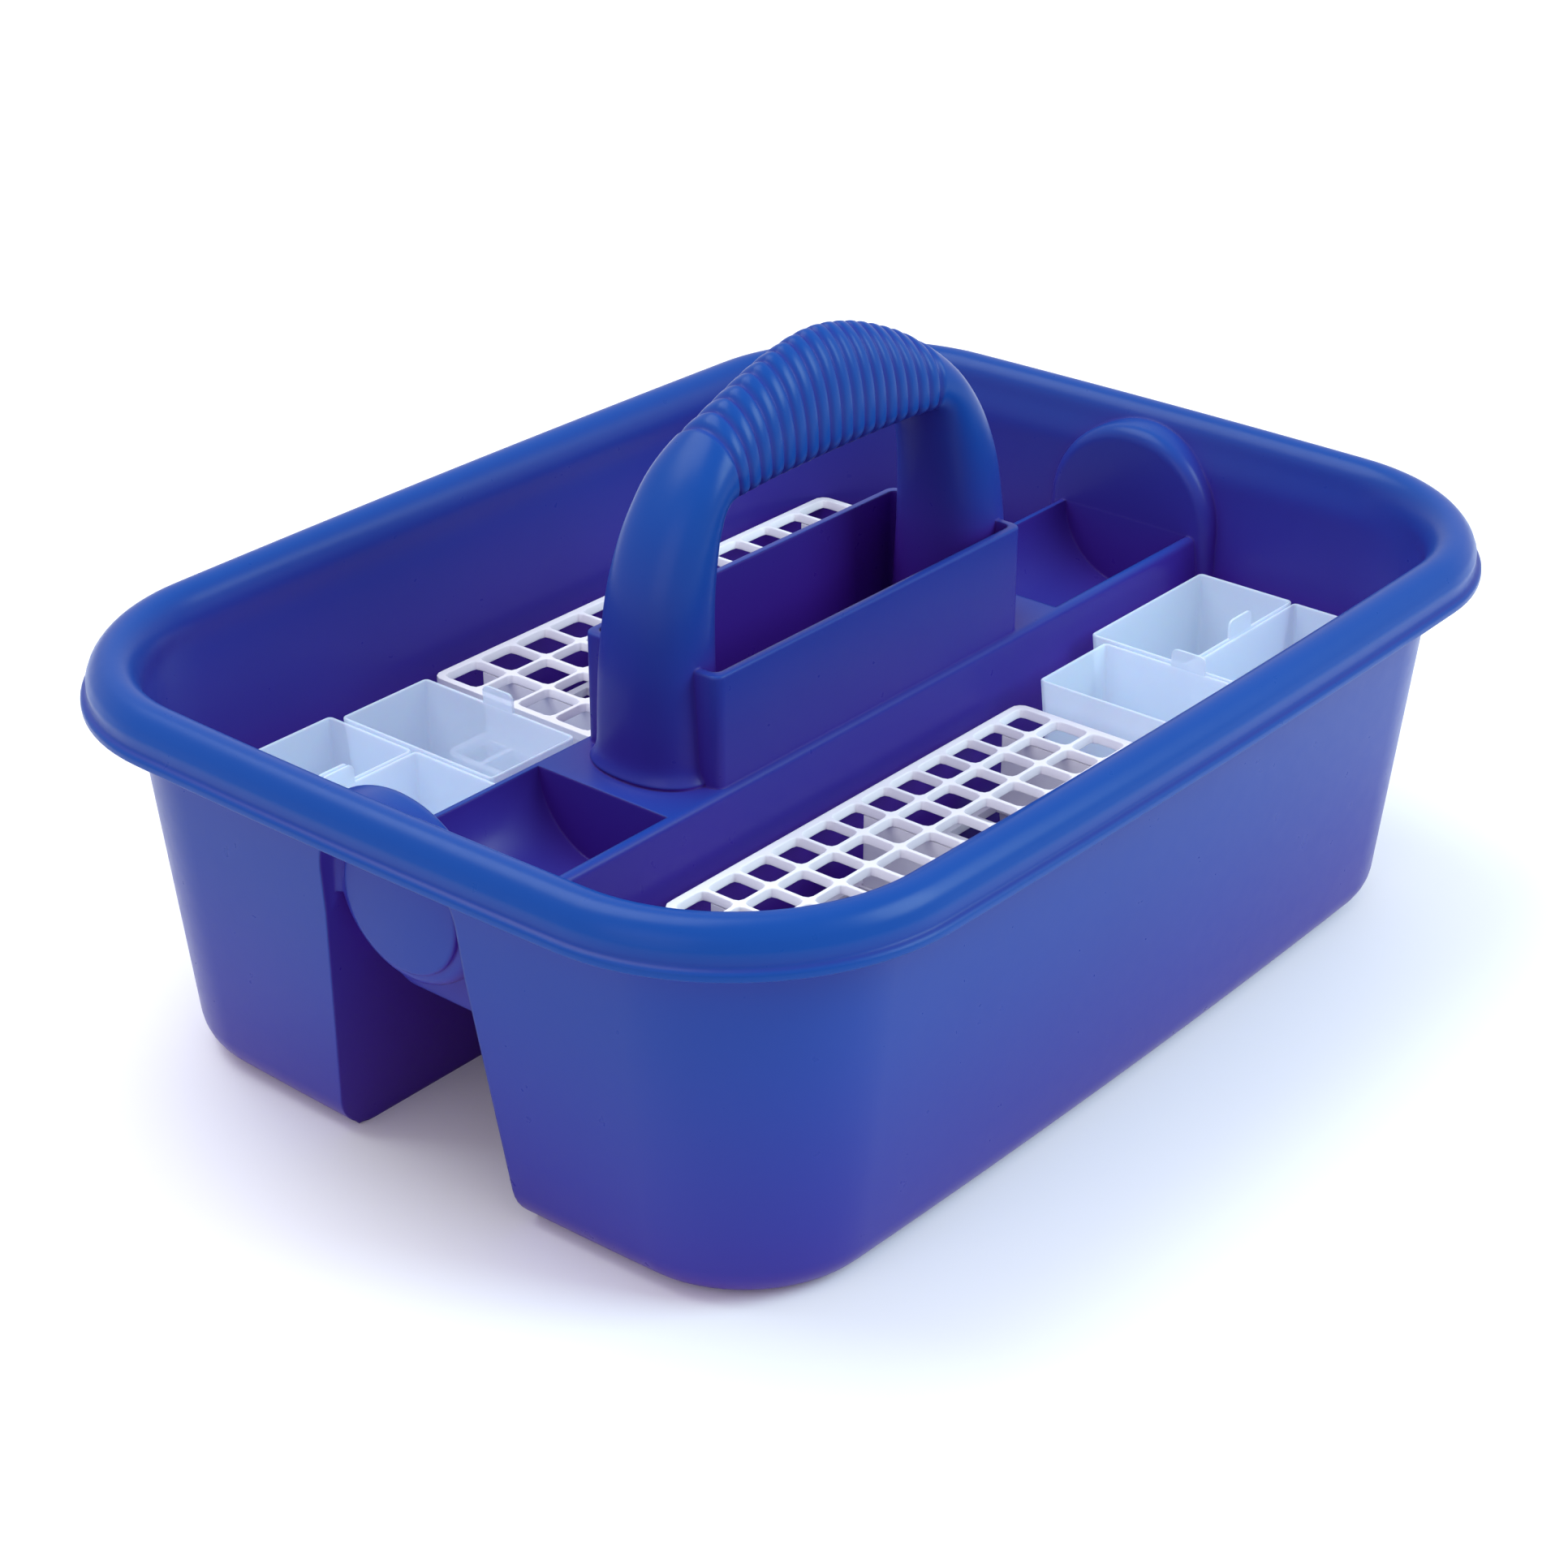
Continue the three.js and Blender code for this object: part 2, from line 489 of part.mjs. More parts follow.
// ================================================================ bins
// One open bin: long along X, tapered, with a tab standing up from the middle of one long wall.
const BIN_BASE = FLOOR + TOUCH;
const BIN_HEIGHT = BIN_TOP - BIN_BASE;
function binSolid() {
  const draw = (z) => BIN_TAPER * (1 - z / BIN_HEIGHT);
  const ring = (inset, z) => outline(BIN_LENGTH / 2 - draw(z) - inset, BIN_WIDTH / 2 - draw(z) - inset,
    BIN_CORNER - inset, z, 0, BIN_STEPS);
  const body = toSolid(loft([
    point(0, 0, 0),
    ring(4, 0),
    ring(1.2, 1.2),
    ring(0, 4),
    ring(0, BIN_HEIGHT),
    ring(BIN_WALL, BIN_HEIGHT),
    ring(BIN_WALL, BIN_FLOOR + 3),
    ring(BIN_WALL + 3, BIN_FLOOR),
    point(0, 0, BIN_FLOOR),
  ], around(BIN_STEPS)));
  const tab = roundedRectShape(-TAB_WIDTH / 2, TAB_WIDTH / 2, -12, TAB_RISE, 3);
  const tabGeometry = new THREE.ExtrudeGeometry(tab,
    { depth: TAB_THICKNESS, bevelEnabled: false, curveSegments: 4 });
  // stands in the plane of the wall on the -Y side
  tabGeometry.rotateX(Math.PI / 2);
  tabGeometry.translate(0, TAB_THICKNESS - BIN_WIDTH / 2, BIN_HEIGHT);
  const tabSolid = toSolid(tabGeometry).intersect(boxSolid(-30, 30, -BIN_WIDTH / 2, 0, BIN_HEIGHT - 1, 200));
  return body.add(tabSolid);
}

// ================================================================ the assembly
const caddy = new THREE.Group();
const tubPlastic = new THREE.MeshStandardMaterial({ color: 0x1d4f9e, roughness: 0.38, metalness: 0 });
const rackPlastic = new THREE.MeshStandardMaterial({ color: 0xf2f2f5, roughness: 0.42, metalness: 0 });
const binPlastic = new THREE.MeshStandardMaterial({ color: 0xcdd6e4, roughness: 0.35, metalness: 0 });

function place(name, geometry, material, parent, x = 0, y = 0, z = 0, turn = 0) {
  const mesh = new THREE.Mesh(geometry, material);
  mesh.name = name;
  mesh.position.set(x, y, z);
  mesh.rotation.z = turn;
  parent.add(mesh);
  return mesh;
}

place('tub', toGeometry(tub), tubPlastic, caddy);

// The walls' inner faces at the floor, and the bins' middles measured from them.
const insideEnd = BASE_LENGTH / 2 - WALL;
const insideSide = BASE_WIDTH / 2 - WALL;
const nearLongX = insideEnd - END_GAP_NEAR - BIN_LENGTH / 2;
const farLongX = -(insideEnd - END_GAP_FAR - BIN_LENGTH / 2);
const nearCrossX = nearLongX - BIN_LENGTH / 2 - CROSS_GAP_NEAR - BIN_WIDTH / 2;
const farCrossX = farLongX + BIN_LENGTH / 2 + CROSS_GAP_FAR + BIN_WIDTH / 2;
const nearOuterY = -(insideSide - NEAR_WALL_GAP - BIN_WIDTH / 2);
const farOuterY = insideSide - FAR_WALL_BIN_GAP - BIN_WIDTH / 2;

const racks = [
  { name: 'near', pitch: NEAR_PITCH, columns: NEAR_COLUMNS },
  { name: 'far', pitch: FAR_PITCH, columns: FAR_COLUMNS },
];
const underTop = RACK_TOP - GRID_DEPTH;
for (const { name, pitch, columns } of racks) {
  const length = gridLength(pitch);
  const width = gridWidth(pitch, columns);
  const farX = insideEnd + WALL_LEAN * underTop - FAR_END_GAP - length;
  const farY = insideSide + WALL_LEAN * underTop - FAR_WALL_GAP - width;
  const x0 = name === 'near' ? nearCrossX - BIN_WIDTH / 2 - NEAR_BIN_GAP - length : farX;
  const y0 = name === 'near' ? -islandHalf(RACK_TOP) - NEAR_ISLAND_GAP - width : farY;
  const rack = new THREE.Group();
  rack.position.set(x0, y0, 0);
  caddy.add(rack);
  const upper = toGeometry(gridSolid(pitch, columns, 0, null));
  place(`${name}_rack_upper_grid`, upper, rackPlastic, rack, 0, 0, RACK_TOP - GRID_DEPTH);
  const lower = toGeometry(gridSolid(pitch, columns, LOWER_INSET, [7, width - 7]));
  place(`${name}_rack_lower_grid`, lower, rackPlastic, rack, 0, 0, RACK_TOP - TIER_GAP - GRID_DEPTH);
  const plate = supportGeometry(0, width, 16, 16, FLOOR + TOUCH, RACK_TOP - GRID_DEPTH - TOUCH);
  SUPPORT_BARS.forEach((bar, i) => {
    place(`${name}_rack_support_${i + 1}`, closedMesh(plate), rackPlastic, rack, barCentre(pitch, bar));
  });
}

// Middle of each bin, and its turn: 0 has the tab on its -Y wall.
const bins = [
  ['near_inner_bin', nearLongX, nearOuterY + BIN_WIDTH + ROW_GAP, 0],
  ['near_outer_bin', nearLongX - OUTER_SHIFT_NEAR, nearOuterY, 0],
  ['near_cross_bin', nearCrossX, nearOuterY + 19.0, Math.PI / 2],
  ['far_cross_bin', farCrossX, farOuterY - 20.4, Math.PI / 2],
  ['far_inner_bin', farLongX, farOuterY - BIN_WIDTH - ROW_GAP, Math.PI],
  ['far_outer_bin', farLongX - OUTER_SHIFT_FAR, farOuterY, 0],
];
for (const [name, x, y, turn] of bins) {
  place(name, toGeometry(binSolid()), binPlastic, caddy, x, y, BIN_BASE, turn);
}

export default caddy;
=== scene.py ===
import math

import bmesh
import bpy
import numpy as np
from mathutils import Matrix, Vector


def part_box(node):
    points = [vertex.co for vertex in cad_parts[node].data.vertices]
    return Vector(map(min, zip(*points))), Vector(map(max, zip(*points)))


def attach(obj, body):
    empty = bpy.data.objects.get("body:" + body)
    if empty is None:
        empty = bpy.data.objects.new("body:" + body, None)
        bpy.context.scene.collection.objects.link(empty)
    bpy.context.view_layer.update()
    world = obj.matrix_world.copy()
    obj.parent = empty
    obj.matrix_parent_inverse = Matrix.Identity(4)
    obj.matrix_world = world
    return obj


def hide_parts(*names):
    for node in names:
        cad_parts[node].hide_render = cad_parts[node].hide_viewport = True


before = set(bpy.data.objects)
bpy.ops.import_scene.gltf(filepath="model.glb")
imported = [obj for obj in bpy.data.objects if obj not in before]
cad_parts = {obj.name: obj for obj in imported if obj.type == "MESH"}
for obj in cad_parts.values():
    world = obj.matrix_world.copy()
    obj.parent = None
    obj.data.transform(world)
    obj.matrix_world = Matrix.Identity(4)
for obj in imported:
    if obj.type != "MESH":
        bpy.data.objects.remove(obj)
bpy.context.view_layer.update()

# ---------------------------------------------------------------- camera
# A long lens looks down on one end and the near long side, the tub's two feet square to the table.
azimuth, elevation = math.radians(-50.17), math.radians(27.37)
camera_back = np.array([math.sin(azimuth) * math.cos(elevation),
                        -math.cos(azimuth) * math.cos(elevation), math.sin(elevation)])
camera_target = np.array([-0.02145, -0.00556, 0.0800])
camera_distance, film_width, lens_ratio = 1.1535, 36.0, 2.04    # the lens is its ratio times the film
camera = bpy.data.objects.new("camera", bpy.data.cameras.new("camera"))
camera.data.sensor_width = film_width
camera.data.lens = film_width * lens_ratio
camera.location = camera_target + camera_distance * camera_back
camera.rotation_euler = (math.pi / 2 - elevation, 0.0, azimuth)
bpy.context.collection.objects.link(camera)
bpy.context.scene.camera = camera

# ---------------------------------------------------------------- tub shell
# The tub is one injection moulding in glossy blue polypropylene. Its thin walls lean out, turn over
# at the top into a hollow bead that ends in a lip, and stand on two long feet.
tub_half = (233.5, 178.0)       # lip edge to the middle, along X and Y
lip_corner, lip_z, crown_z = 82.0, 137.5, 154.0
base_half = (200.0, 147.5)      # outside of the walls at the ground
base_corner, wall_lean, wall, floor_top = 47.0, 0.1, 3.2, 4.0
base_round, floor_round, side_bow = 14.0, 6.0, 3.9


def mesh_piece(name, points, faces):
    """An object from points in mm and a list of face arrays; turned right side out by its signed volume,
    the sum over its triangles of a . (b x c) / 6."""
    points = np.asarray(points, float).reshape(-1, 3) / 1000.0
    corners = [row for block in faces for row in np.asarray(block).tolist()]
    triangles = np.concatenate([np.stack([block[:, 0], block[:, k], block[:, k + 1]], 1)
                                for block in map(np.asarray, faces) for k in range(1, block.shape[1] - 1)])
    a, b, c = (points[triangles[:, k]] for k in range(3))
    if np.einsum("ij,ij->i", a, np.cross(b, c)).sum() < 0:
        corners = [row[::-1] for row in corners]
    mesh = bpy.data.meshes.new(name)
    mesh.from_pydata(points.tolist(), [], corners)
    mesh.update()
    piece = bpy.data.objects.new(name, mesh)
    bpy.context.collection.objects.link(piece)
    return piece


def ring_faces(rows, count, start=0):
    """Quads that join each ring of count points to the next one."""
    i = np.arange(count)
    row = start + np.arange(rows - 1)[:, None] * count
    near, far = row + i, row + (i + 1) % count
    return np.stack([near, far, far + count, near + count], -1).reshape(-1, 4)


def lofted(name, rings):
    """A closed surface through a stack of rings, rings[j, i] being point i of ring j, with a fan to the
    mean point of the first ring and of the last."""
    rows, count = rings.shape[:2]
    points = np.concatenate([rings.reshape(-1, 3), rings[0].mean(0)[None], rings[-1].mean(0)[None]])
    i = np.arange(count)
    j = (i + 1) % count
    low, high = rows * count, rows * count + 1
    last = (rows - 1) * count
    return mesh_piece(name, points, [
        ring_faces(rows, count),
        np.stack([np.full(count, low), j, i], -1),
        np.stack([np.full(count, high), last + i, last + j], -1)])


def smooth_run(rows, steps=6):
    """Rows of numbers made finer by a Catmull-Rom curve through them: each span is the cubic whose slope
    at a row is half the difference of the rows on either side."""
    rows = np.asarray(rows, float)
    padded = np.concatenate([2 * rows[:1] - rows[1:2], rows, 2 * rows[-1:] - rows[-2:-1]])
    p0, p1, p2, p3 = (padded[k:len(padded) - 3 + k, None] for k in range(4))
    t = (np.arange(steps) / steps)[None, :, None]
    spans = 0.5 * (2 * p1 + (p2 - p0) * t + (2 * p0 - 5 * p1 + 4 * p2 - p3) * t ** 2
                   + (3 * p1 - p0 - 3 * p2 + p3) * t ** 3)
    return np.concatenate([spans.reshape(-1, rows.shape[1]), rows[-1:]])


def rounded_outline(rows, bow=0.0, corner=24, side=18):
    """One ring for each row (half length a, half width b, corner radius r, height z): quarter circles of
    radius r joined by straight runs, then x drawn in by bow * (y / b)^2 and y by bow * (x / a)^2."""
    a, b, r, z = np.asarray(rows, float).T[:, :, None]
    signs = ((1, 1), (-1, 1), (-1, -1), (1, -1))
    runs = []
    for quarter in range(4):
        sx, sy = signs[quarter]
        nx, ny = signs[(quarter + 1) % 4]
        turn = np.linspace(0, np.pi / 2, corner + 1) + quarter * np.pi / 2
        x, y = sx * (a - r) + r * np.cos(turn), sy * (b - r) + r * np.sin(turn)
        next_x, next_y = nx * (a - r) + r * np.cos(turn[-1:]), ny * (b - r) + r * np.sin(turn[-1:])
        t = np.arange(1, side) / side
        runs.append(np.stack([np.concatenate([x, x[:, -1:] + (next_x - x[:, -1:]) * t], 1),
                              np.concatenate([y, y[:, -1:] + (next_y - y[:, -1:]) * t], 1)], -1))
    x, y = np.moveaxis(np.concatenate(runs, 1), -1, 0)
    return np.stack([x * (1 - bow / a * (y / b) ** 2), y * (1 - bow / b * (x / a) ** 2),
                     np.broadcast_to(z, x.shape)], -1)


def wall_rows(inset, z):
    """Rows of the leaning wall, inset from its outer face."""
    inset, z = np.broadcast_arrays(np.asarray(inset, float), np.asarray(z, float))
    grow = wall_lean * z - inset
    return np.stack([base_half[0] + grow, base_half[1] + grow, base_corner + grow, z], -1)


def rim_rows(inset, z):
    """Rows of the rim, inset from the edge of its lip."""
    inset, z = np.broadcast_arrays(np.asarray(inset, float), np.asarray(z, float))
    return np.stack([tub_half[0] - inset, tub_half[1] - inset, lip_corner - inset, z], -1)


def smoothed(piece, degrees=32.0):
    """Smooth shading with every edge sharper than the angle kept crisp."""
    piece.data.shade_smooth()
    piece.data.set_sharp_from_angle(angle=math.radians(degrees))
    return piece


def combine(piece, tool, how):
    """Joins (UNION), cuts (DIFFERENCE) or trims (INTERSECT) piece with the solid tool, and uses tool up."""
    modifier = piece.modifiers.new("combine", "BOOLEAN")
    modifier.operation, modifier.solver, modifier.object = how, "MANIFOLD", tool
    bpy.context.view_layer.update()
    result = bpy.data.meshes.new_from_object(piece.evaluated_get(bpy.context.evaluated_depsgraph_get()))
    piece.modifiers.remove(modifier)
    old, piece.data = piece.data, result
    bpy.data.meshes.remove(old)
    bpy.data.objects.remove(tool)
    return piece


quarter = np.linspace(0, np.pi / 2, 9)
shell_rows = np.concatenate([
    wall_rows(base_round * (1 - np.sin(quarter)), base_round * (1 - np.cos(quarter))),
    wall_rows(0, np.linspace(30, lip_z - 4, 7)),
    smooth_run(np.concatenate([wall_rows(0, [lip_z, lip_z + 3]),
                               rim_rows([15.5, 10.5, 5.6, 3.7, 3.3], [147.2, 150.6, 147.0, 142, lip_z])])),
    rim_rows([2.6, 0.5, 0.1, 0, 0.1], [lip_z - 0.1, lip_z, lip_z + 0.4, lip_z + 1.2, lip_z + 2.4]),
    smooth_run(rim_rows([0.7, 1.9, 2.3, 2.3], [lip_z + 3.2, lip_z + 3.8, lip_z + 4.6, lip_z + 7.5]), 3),
    smooth_run(np.concatenate([
        rim_rows([2.3, 3.9, 7.0, 11.0, 15.0, 18.3, 20.4], [146.0, 149.6, 152.8, crown_z, 152.9, 149.4, 143.4]),
        wall_rows(wall, [135.0, 126.0])]), 7),
    wall_rows(wall, np.linspace(112, 18, 7)),
    wall_rows(wall + floor_round * (1 - np.cos(quarter)), floor_top + floor_round * (1 - np.sin(quarter))),
])
tub = lofted("caddy_tub", rounded_outline(shell_rows, side_bow))


def trimming_solid():
    """The space inside the tub's outer face, a little in from it, that trims what runs into its end walls."""
    rows = np.concatenate([
        wall_rows([base_round * 0.5, base_round * 0.12], [1.0, 8.0]),
        wall_rows(0.8, np.linspace(base_round + 2, lip_z, 6)),
        rim_rows([11.0, 12.0], [lip_z + 0.5, crown_z - 5])])
    return lofted("trim", rounded_outline(rows, side_bow))


# ---------------------------------------------------------------- island and its centre box
# Between the two compartments the moulding rises to a hollow island with rounded top edges. A deep
# open box stands on its middle, and its roof is the floor of the box's pocket.
island_top, island_half_top, island_lean = 111.0, 33.0, 0.108
island_round = 2.6
box_half, box_top, pocket_floor = (86.0, 30.5), 153.0, 80.0
box_corner, box_edge, box_sink, box_waist = 4.0, 0.9, 8, 130


def island_half(z):
    """Half width of the island at height z, by its constant lean."""
    return island_half_top + island_lean * (island_top - z)


def prism_along_x(name, outline_yz, stations):
    """A closed outline in Y and Z carried along X: one ring for each station (x, inset), the inset
    drawing the outline towards its own mean point by that many mm."""
    outline_yz = np.asarray(outline_yz, float)
    middle = outline_yz.mean(0)
    arm = outline_yz - middle
    length = np.linalg.norm(arm, axis=1, keepdims=True)
    rings = []
    for x, inset in stations:
        drawn = middle + arm * (1 - inset / length)
        rings.append(np.column_stack([np.full(len(drawn), float(x)), drawn]))
    return lofted(name, np.array(rings))


def rounded_polygon(corners, radii, steps=8):
    """A polygon whose corners are cut back by their radius and rounded with a quadratic curve."""
    corners = np.asarray(corners, float)
    before, after = np.roll(corners, 1, 0), np.roll(corners, -1, 0)
    points = []
    for previous, corner, following, radius in zip(before, corners, after, radii):
        start = corner + radius * (previous - corner) / np.linalg.norm(previous - corner)
        end = corner + radius * (following - corner) / np.linalg.norm(following - corner)
        t = np.linspace(0, 1, steps + 1 if radius > 0 else 1)[:, None]
        points.append((1 - t) ** 2 * start + 2 * t * (1 - t) * corner + t ** 2 * end)
    return np.concatenate(points)


island_outline = rounded_polygon(
    [(-island_half(0.5), 0.5), (island_half(0.5), 0.5), (island_half_top, island_top),
     (-island_half_top, island_top)], [0, 0, island_round, island_round])
island = prism_along_x("island", island_outline, [(-tub_half[0], 0), (tub_half[0], 0)])
combine(island, trimming_solid(), "INTERSECT")
combine(tub, island, "UNION")

edge = np.linspace(0, np.pi / 2, 5)
box_rows = np.column_stack([np.full(7, box_half[0]), np.full(7, box_half[1]), np.full(7, box_corner),
                            [island_top - box_sink, box_waist, 0, 0, 0, 0, 0]])
box_rows[2:, 0] -= box_edge * (1 - np.cos(edge))
box_rows[2:, 1] -= box_edge * (1 - np.cos(edge))
box_rows[2:, 3] = box_top - box_edge * (1 - np.sin(edge))
combine(tub, lofted("centre_box", rounded_outline(box_rows, 0, 8, 6)), "UNION")

# ---------------------------------------------------------------- end trays and round bosses
# Each end of the island carries a half-round tray. A round-topped boss with a softly rounded edge
# stands in from the end wall and closes the tray; behind it the wall is dished from outside.
tray_radius, tray_inner, tray_outer = 29.5, 111.0, 201.0
boss_radius, boss_bottom, boss_splay = 39.0, 30, 4
boss_run_back, boss_draw_in = 5.5, 6.0      # its rounded edge, along X and towards its middle
web_set_in, web_thickness, web_foot, web_sink, web_corner = 14, 2.8, 18, 0.8, 3
web_bottom, web_shoulder, web_top = 64, 72, 103
hollow_bottom, hollow_top = 70, 102
dish_margin = 5
pad_radius, pad_rise, pad_edge, pad_below = 25.5, 2.2, 1.2, 2


def arch(radius, bottom, splay, count=40):
    """A half circle of the radius on straight sides that splay out to the bottom height."""
    turn = np.linspace(0, np.pi, count)
    top = np.column_stack([radius * np.cos(turn), island_top - 1 + radius * np.sin(turn)])
    return np.concatenate([top, [(-radius - splay, bottom), (radius + splay, bottom)]])


def mirrored(piece, side):
    """The piece, or for side -1 its mirror image across the middle of the tub's length, right side out."""
    if side < 0:
        points = np.empty(len(piece.data.vertices) * 3)
        piece.data.vertices.foreach_get("co", points)
        points[0::3] *= -1
        piece.data.vertices.foreach_set("co", points)
        piece.data.flip_normals()
    return piece


def cylinder_along_x(name, radius, x0, x1, round_end=0.0, z=None, count=96):
    """A round bar along X at height z, or on the level of the tray's lip; the rim of its outer end is a
    quarter circle of radius round_end."""
    turn = np.linspace(0, 2 * np.pi, count, endpoint=False)
    t = np.linspace(0, np.pi / 2, 6 if round_end > 0 else 1)[:, None]
    x = np.concatenate([[[x0]], x1 - round_end + round_end * np.sin(t)])
    r = np.concatenate([[[radius]], radius - round_end + round_end * np.cos(t)])
    z = island_top if z is None else z
    return lofted(name, np.stack([x + 0 * turn, r * np.cos(turn), z + r * np.sin(turn)], -1))


tunnel_roof, tunnel_round, tunnel_reach = pocket_floor - wall, 4.0, 300


def tunnel_half(z):
    """Half width of the hollow under the island at height z."""
    return island_half(z) - wall


tunnel_outline = rounded_polygon(
    [(-tunnel_half(-2), -2), (tunnel_half(-2), -2), (tunnel_half(tunnel_roof), tunnel_roof),
     (-tunnel_half(tunnel_roof), tunnel_roof)], [0, 0, tunnel_round, tunnel_round])
for side in (1, -1):
    stations = [(tray_outer + boss_run_back * (1 - np.cos(t)), boss_draw_in * (1 - np.sin(t))) for t in quarter]
    stations.append((tub_half[0] + 0.5, 0.0))
    boss = prism_along_x("boss", arch(boss_radius, boss_bottom, boss_splay), stations)
    combine(boss, trimming_solid(), "INTERSECT")
    combine(tub, mirrored(boss, side), "UNION")
combine(tub, prism_along_x("tunnel", tunnel_outline, [(-tunnel_reach, 0), (tunnel_reach, 0)]), "DIFFERENCE")
web_outline = rounded_polygon(
    [(-web_foot, web_bottom), (web_foot, web_bottom), (tunnel_half(web_shoulder) + web_sink, web_shoulder),
     (tunnel_half(web_top) + web_sink, web_top), (-tunnel_half(web_top) - web_sink, web_top),
     (-tunnel_half(web_shoulder) - web_sink, web_shoulder)],
    [web_corner, web_corner, web_corner, 0, 0, web_corner])
hollow_outline = [(-tunnel_half(hollow_bottom), hollow_bottom), (tunnel_half(hollow_bottom), hollow_bottom),
                  (tunnel_half(hollow_top), hollow_top), (-tunnel_half(hollow_top), hollow_top)]
for side in (1, -1):
    hollow = prism_along_x("hollow", hollow_outline, [(tray_inner + wall, 0), (tub_half[0] + 12, 0)])
    combine(hollow, cylinder_along_x("trough_wall", tray_radius + wall, tray_inner - 5, tray_outer + wall, 4.5),
            "DIFFERENCE")
    combine(tub, mirrored(hollow, side), "DIFFERENCE")
    web = prism_along_x("web", web_outline, [
        (tray_outer - web_set_in - web_thickness, 0), (tray_outer - web_set_in, 0)])
    combine(tub, mirrored(web, side), "UNION")
    trough = cylinder_along_x("trough", tray_radius, tray_inner, tray_outer - 0.1)
    combine(tub, mirrored(trough, side), "DIFFERENCE")
    dish_outline = arch(boss_radius - wall - dish_margin, boss_bottom, boss_splay)
    dish = prism_along_x("dish", dish_outline, [(tray_outer + wall, 3), (tray_outer + wall + 1.2, 0.8),
                                                (tray_outer + wall + 3, 0), (tub_half[0] + 10, 0)])
    under = prism_along_x("under", [(-60, 20), (60, 20), (60, lip_z - 0.2), (-60, lip_z - 0.2)],
                          [(tray_outer, 0), (tub_half[0] + 20, 0)])
    behind = prism_along_x("behind", [(-61, lip_z - 1), (61, lip_z - 1), (61, crown_z), (-61, crown_z)],
                           [(tray_outer - 1, 0), (tub_half[0] - 13, 0)])
    combine(under, behind, "UNION")
    combine(dish, under, "INTERSECT")
    combine(tub, mirrored(dish, side), "DIFFERENCE")
    pad = cylinder_along_x("pad", pad_radius, tray_outer + 1, tray_outer + wall + pad_rise, pad_edge,
                           island_top - pad_below)
    combine(tub, mirrored(pad, side), "UNION")

pocket_corner, pocket_round = 3.0, 2.0
pocket_rows = np.column_stack([np.full(7, box_half[0] - wall), np.full(7, box_half[1] - wall),
                               np.full(7, pocket_corner), np.full(7, box_top + 10)])
pocket_rows[:5, 0] -= pocket_round * (1 - np.sin(edge))
pocket_rows[:5, 1] -= pocket_round * (1 - np.sin(edge))
pocket_rows[:5, 3] = pocket_floor + pocket_round * (1 - np.cos(edge))
pocket_rows[5, 3] = 120
combine(tub, lofted("pocket", rounded_outline(pocket_rows, 0, 6, 6)), "DIFFERENCE")

# ---------------------------------------------------------------- handle
# The bail handle is moulded with the tub: two oval legs rise from the ends of the box, flare where
# they meet the deck, and run into a fuller grip with encircling ridges.
handle_stations = [  # inner x, z, outer x, z, half width: right half, from the foot up to mid grip
    (65, 79, 93.5, 79, 22.5), (65, 100, 96, 100, 23), (65, 109, 99, 109, 24.2), (65, 111, 102.6, 111, 25.4),
    (65, 113, 101.0, 113.2, 24.0), (65, 117.5, 99.7, 118, 22.4), (65, 132, 99.5, 134, 21.6),
    (65, 150, 98.7, 152, 20.5), (64.2, 172, 94.9, 174, 19.3), (61.6, 188, 89, 190, 18.1),
    (59.4, 195, 81.5, 203, 17.1), (57.4, 198.6, 70.5, 216, 16.3), (53.5, 200.6, 56.5, 227, 15.6),
    (40, 201, 41, 235.2, 15), (20, 201, 20.5, 242.8, 15), (0, 201, 0, 246, 15)]
grip_ribbed, rib_count, rib_depth, groove_width, ridge_dip = 55.5, 18, 1.2, 0.15, 0.22
fine_step, coarse_step = 0.62, 2.6      # between rings, over the ridges and elsewhere


